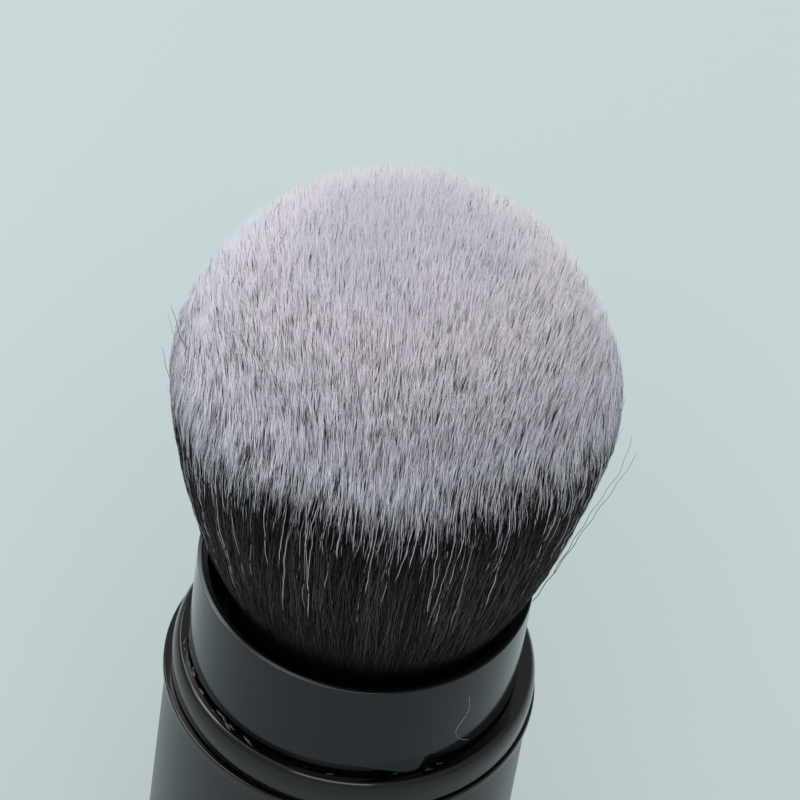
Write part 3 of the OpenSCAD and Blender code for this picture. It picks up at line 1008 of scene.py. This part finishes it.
def make_adhesive(material):
    """Small beads of adhesive in the groove between neck and collar."""
    points, faces = [], []
    spots = [
        (draw(*limits), rng.uniform(*sizes))
        for count, draw, limits, sizes in BEAD_GROUPS
        for _ in range(count)
    ]
    for azimuth, scale in spots:
        centre = on_neck(azimuth, COLLAR_TOP - BEAD_SINK, NECK_R + rng.uniform(*BEAD_OUT))
        length, width, height = (measure * scale for measure in BEAD_SIZE)
        size = (length * rng.uniform(*BEAD_LENGTHS), width, height)
        along = math.radians(azimuth) + math.pi / 2
        add_bead(points, faces, centre, size, along + rng.normal(0, BEAD_TURN))
    mesh = smooth_mesh("adhesive", points, faces)
    place("adhesive_beads", mesh, "sleeve", material)


def make_lacquer_run(material):
    """A small run of lacquer at the neck's foot, beside the notch."""
    columns, rows = RUN_COLUMNS, RUN_ROWS
    azimuth = np.linspace(RUN_EDGE[0, 0], RUN_EDGE[-1, 0], columns)
    edge = np.interp(azimuth, RUN_EDGE[:, 0], RUN_EDGE[:, 1])
    points, faces = [], []
    for row in range(rows):
        u = row / (rows - 1)
        for a, z_low in zip(azimuth, edge):
            full = float(np.interp(a, *RUN_FULL))
            bulge = RUN_BULGE * full**1.2 * u**1.6
            skin = RUN_SKIN * min(1, full * 8) * min(1, 3 * u)
            z = RUN_TOP + (z_low - RUN_TOP) * u
            points.append(on_neck(a, z, NECK_R - RUN_SINK + skin + bulge))
    for row in range(rows - 1):
        for column in range(columns - 1):
            a = row * columns + column
            faces.append((a, a + columns, a + columns + 1, a + 1))

    # Its lower edge turned in to the neck
    first = len(points)
    for a, z_low in zip(azimuth, edge):
        points.append(on_neck(a, z_low + RUN_TURNED_UP, NECK_R - RUN_TURNED_IN))
    for column in range(columns - 1):
        a, b = (rows - 1) * columns + column, first + column
        faces.append((a, b, b + 1, a + 1))
    mesh = smooth_mesh("lacquer_run", points, faces)
    place("lacquer_run", mesh, "sleeve", material)


# ---------------------------------------------------------------- stage

# All lengths in this section are in metres
FLOOR_HALF = 3.0
# Painted shade on the floor: its colour in front and behind, and where along +Y it changes
FLOOR_SHADED, FLOOR_FAR = "#B5C1C3", "#C4D0D2"
FLOOR_SHADE_FADE = (-0.04, 0.12)
FLOOR_ROUGHNESS = 0.9
WORLD_COLOUR, WORLD_STRENGTH = "#EEF0F0", 0.47
LIGHTS_AIM = Vector((0, 0, 0.06))

# Name, place, side and watts of each square light
LIGHTS = (
    ("key", (-0.35, 0.25, 0.95), 0.8, 6.5),
    ("fill", (-0.02, -0.8, 0.8), 0.7, 4.3),
    ("glint", (-0.33, 0.42, 0.95), 0.1, 0.4),
)


def make_floor():
    """A pale matt floor, with a painted shade that leaves it a little lighter towards the back."""
    h = FLOOR_HALF
    mesh = bpy.data.meshes.new("floor")
    mesh.from_pydata([(-h, -h, 0), (h, -h, 0), (h, h, 0), (-h, h, 0)], [], [(0, 1, 2, 3)])
    floor = bpy.data.objects.new("floor", mesh)
    bpy.context.scene.collection.objects.link(floor)
    material, shader = new_material("floor")
    _, y, _ = split_xyz(material, object_point(material))
    out_of_shade = ramp(material, y, *FLOOR_SHADE_FADE)
    colour = mix(material, out_of_shade, linear(FLOOR_SHADED), linear(FLOOR_FAR))
    link(material, colour, shader.inputs["Base Color"])
    shader.inputs["Roughness"].default_value = FLOOR_ROUGHNESS
    shader.inputs["Specular IOR Level"].default_value = 0.0
    mesh.materials.append(material)


def make_light():
    """An even sky and three soft square lights."""
    world = bpy.data.worlds.new("world")
    bpy.context.scene.world = world
    world.use_nodes = True
    sky = world.node_tree.nodes["Background"]
    sky.inputs["Color"].default_value = (*linear(WORLD_COLOUR), 1)
    sky.inputs["Strength"].default_value = WORLD_STRENGTH
    for name, location, side, watts in LIGHTS:
        data = bpy.data.lights.new(name, "AREA")
        data.shape = "RECTANGLE"
        data.size = data.size_y = side
        data.energy = watts
        lamp = bpy.data.objects.new(name, data)
        lamp.location = location
        lamp.rotation_euler = (LIGHTS_AIM - Vector(location)).to_track_quat("-Z", "Y").to_euler()
        bpy.context.scene.collection.objects.link(lamp)


# ---------------------------------------------------------------- the scene

scene = bpy.context.scene
scene.view_settings.view_transform = "Standard"
make_camera()
make_floor()
make_light()

# The neck's lacquer, with a painted highlight along its rim
lacquer = hard_material(
    "neck_lacquer", "#141b1e", "#2c3335", 0.13, 1.36, dust_limit=0.745, painted_rim_highlight=True
)
gloss = hard_material("collar_gloss", "#050607", "#2c3032", 0.13, 1.5, dust_limit=0.745)
satin = hard_material(
    "handle_lacquer", "#0d1415", "#3c4243", 0.31, 1.46, grain=2600, grain_metres=0.00002
)
plastic = hard_material("black_plastic", "#0b0808", "#3a3434", 0.3, 1.48)
# The ferrule's aluminium is darkened, a painted shade for its place deep in the neck
bare = hard_material("bare_aluminium", "#232425", "#313233", 0.5, 1.5, metallic=1.0)
steel = hard_material("weight_steel", "#8f9396", "#6a6d70", 0.4, 1.5, metallic=1.0)
rubber = hard_material("friction_rubber", "#3a2f2c", "#5a4f4c", 0.6, 1.45)
glue = hard_material("set_glue", "#2b2a29", "#4a4743", 0.24, 1.5)
bristle = bristle_material()

MATERIALS = {
    "base_cap": satin, "outer_shell": satin, "neck_cover": lacquer, "collar_ring": gloss,
    "shell_liner": plastic, "stop_ring": plastic, "base_insert": plastic, "carrier_tube": plastic,
    "ferrule": bare, "weight_disc": steel, "friction_ring": rubber, "knot_glue": glue,
}
for node_name, material in MATERIALS.items():
    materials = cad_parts[node_name].data.materials
    materials.clear()
    materials.append(material)

make_bristles(bristle)
make_strays(bristle)
make_flyaways(bristle)
make_neck_hair(bristle)
make_adhesive(glue)
make_lacquer_run(lacquer)
